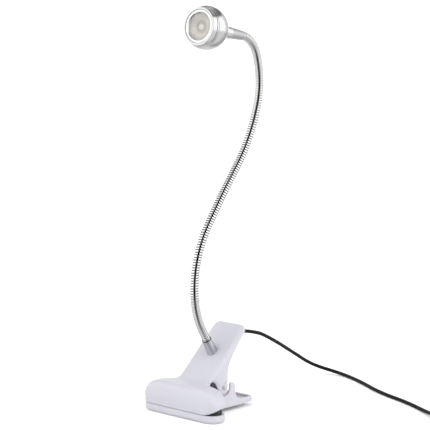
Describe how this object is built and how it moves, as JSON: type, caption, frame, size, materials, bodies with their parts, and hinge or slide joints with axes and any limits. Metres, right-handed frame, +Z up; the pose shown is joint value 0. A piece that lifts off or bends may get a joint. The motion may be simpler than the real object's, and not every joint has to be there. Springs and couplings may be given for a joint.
{
  "type": "clip on reading lamp",
  "caption": "Reading lamp with a small ball-shaped LED head on a steel gooseneck, held by a sprung two-jaw clip, with a black low-voltage cord.",
  "frame": {"origin": "middle of the lower jaw's flat underside, on the surface that the lamp stands on", "axes": "+Z up, -Y the way the jaws' nose and the head point, +X along the jaws"},
  "size_m": [0.2998, 0.204, 0.3245],
  "materials": {
    "white_plastic": "satin white moulded plastic",
    "pad_rubber": "matt black moulded rubber",
    "hose_steel": "bright chromed steel strip wound in a close spiral",
    "sleeve_metal": "satin turned metal",
    "zinc_steel": "plated steel",
    "head_aluminium": "fine turned aluminium, satin",
    "bezel_white": "bright turned aluminium",
    "seal_black": "black rubber",
    "lens_clear": "clear moulded lens",
    "reflector_metal": "vacuum metallised plastic",
    "board_white": "white solder mask on aluminium",
    "led_yellow": "phosphor over the emitter",
    "wire_insulation": "soft wire insulation",
    "black_plastic": "black moulded plastic",
    "cord_black": "black soft cord jacket",
    "contact_brass": "brass contacts"
  },
  "bodies": {
    "upper_clip": {"upper_jaw_shell": "white_plastic", "upper_jaw_pad": "pad_rubber", "lever_back_cover": "white_plastic", "neck_foot_sleeve": "sleeve_metal", "neck_seal_ring": "seal_black", "neck_stud": "zinc_steel", "stud_washer": "zinc_steel", "stud_nut": "zinc_steel", "hose_foot": "hose_steel", "pivot_pin": "zinc_steel", "spring_bush": "white_plastic", "torsion_spring": "zinc_steel", "cord_strain_relief": "black_plastic", "cord_lead": "cord_black", "cord_middle": "cord_black", "cord_tail": "cord_black", "cord_coil": "cord_black", "coil_tie": "seal_black", "plug_body": "black_plastic", "plug_sleeve": "zinc_steel", "plug_tongue": "board_white", "switch_shell_top": "black_plastic", "switch_shell_bottom": "black_plastic", "switch_contacts": "contact_brass"},
    "lower_clip": {"lower_jaw_shell": "white_plastic", "lower_jaw_pad": "pad_rubber"},
    "hose_link_1": {"hose_1": "hose_steel", "hose_core_1": "wire_insulation"},
    "hose_link_2": {"hose_2": "hose_steel", "hose_core_2": "wire_insulation"},
    "hose_link_3": {"hose_3": "hose_steel", "hose_core_3": "wire_insulation"},
    "hose_link_4": {"hose_4": "hose_steel", "hose_core_4": "wire_insulation"},
    "hose_link_5": {"hose_5": "hose_steel", "hose_core_5": "wire_insulation"},
    "hose_link_6": {"hose_6": "hose_steel", "hose_core_6": "wire_insulation"},
    "head": {"hose_top": "hose_steel", "head_sleeve": "sleeve_metal", "head_collar": "head_aluminium", "head_tail": "zinc_steel", "head_nut": "zinc_steel", "head_housing": "head_aluminium", "front_bezel": "bezel_white", "lens": "lens_clear", "lens_gasket": "seal_black", "reflector": "reflector_metal", "led_board": "board_white", "led_chip": "led_yellow", "heat_slug": "head_aluminium", "board_screws": "zinc_steel", "head_wires": "wire_insulation"},
    "switch_button": {"switch_button": "black_plastic"}
  },
  "joints": [
    {"name": "jaw_hinge", "type": "hinge", "parent": "upper_clip", "child": "lower_clip", "pos_m": [0, 0.0275, 0.02], "axis": [1, 0, 0], "range_deg": [0, 26], "stiffness_Nm_per_rad": 0.7, "springref_deg": -34.38, "deforming": ["torsion_spring"]},
    {"name": "neck_bend_1", "type": "hinge", "parent": "upper_clip", "child": "hose_link_1", "pos_m": [0, 0.02283, 0.06123], "axis": [1, 0, 0], "range_deg": [-22, 22]},
    {"name": "neck_lean_2", "type": "hinge", "parent": "hose_link_1", "child": "hose_link_2", "pos_m": [0, 0.01097, 0.09781], "axis": [0, 0.9998, 0.0175], "range_deg": [-22, 22]},
    {"name": "neck_bend_3", "type": "hinge", "parent": "hose_link_2", "child": "hose_link_3", "pos_m": [0, 0.02657, 0.14964], "axis": [1, 0, 0], "range_deg": [-22, 22]},
    {"name": "neck_lean_4", "type": "hinge", "parent": "hose_link_3", "child": "hose_link_4", "pos_m": [0, 0.05857, 0.19249], "axis": [0, 0.7771, -0.6293], "range_deg": [-22, 22]},
    {"name": "neck_bend_5", "type": "hinge", "parent": "hose_link_4", "child": "hose_link_5", "pos_m": [0, 0.08494, 0.24262], "axis": [1, 0, 0], "range_deg": [-22, 22]},
    {"name": "neck_lean_6", "type": "hinge", "parent": "hose_link_5", "child": "hose_link_6", "pos_m": [0, 0.08717, 0.27032], "axis": [0, 0.9919, 0.1271], "range_deg": [-22, 22]},
    {"name": "neck_bend_7", "type": "hinge", "parent": "hose_link_6", "child": "head", "pos_m": [0, 0.07064, 0.29866], "axis": [1, 0, 0], "range_deg": [-22, 22]},
    {"name": "switch_press", "type": "slide", "parent": "upper_clip", "child": "switch_button", "axis": [0, 0, -1], "range_m": [0, 0.001], "stiffness_N_per_m": 600, "springref_m": -0.001}
  ]
}
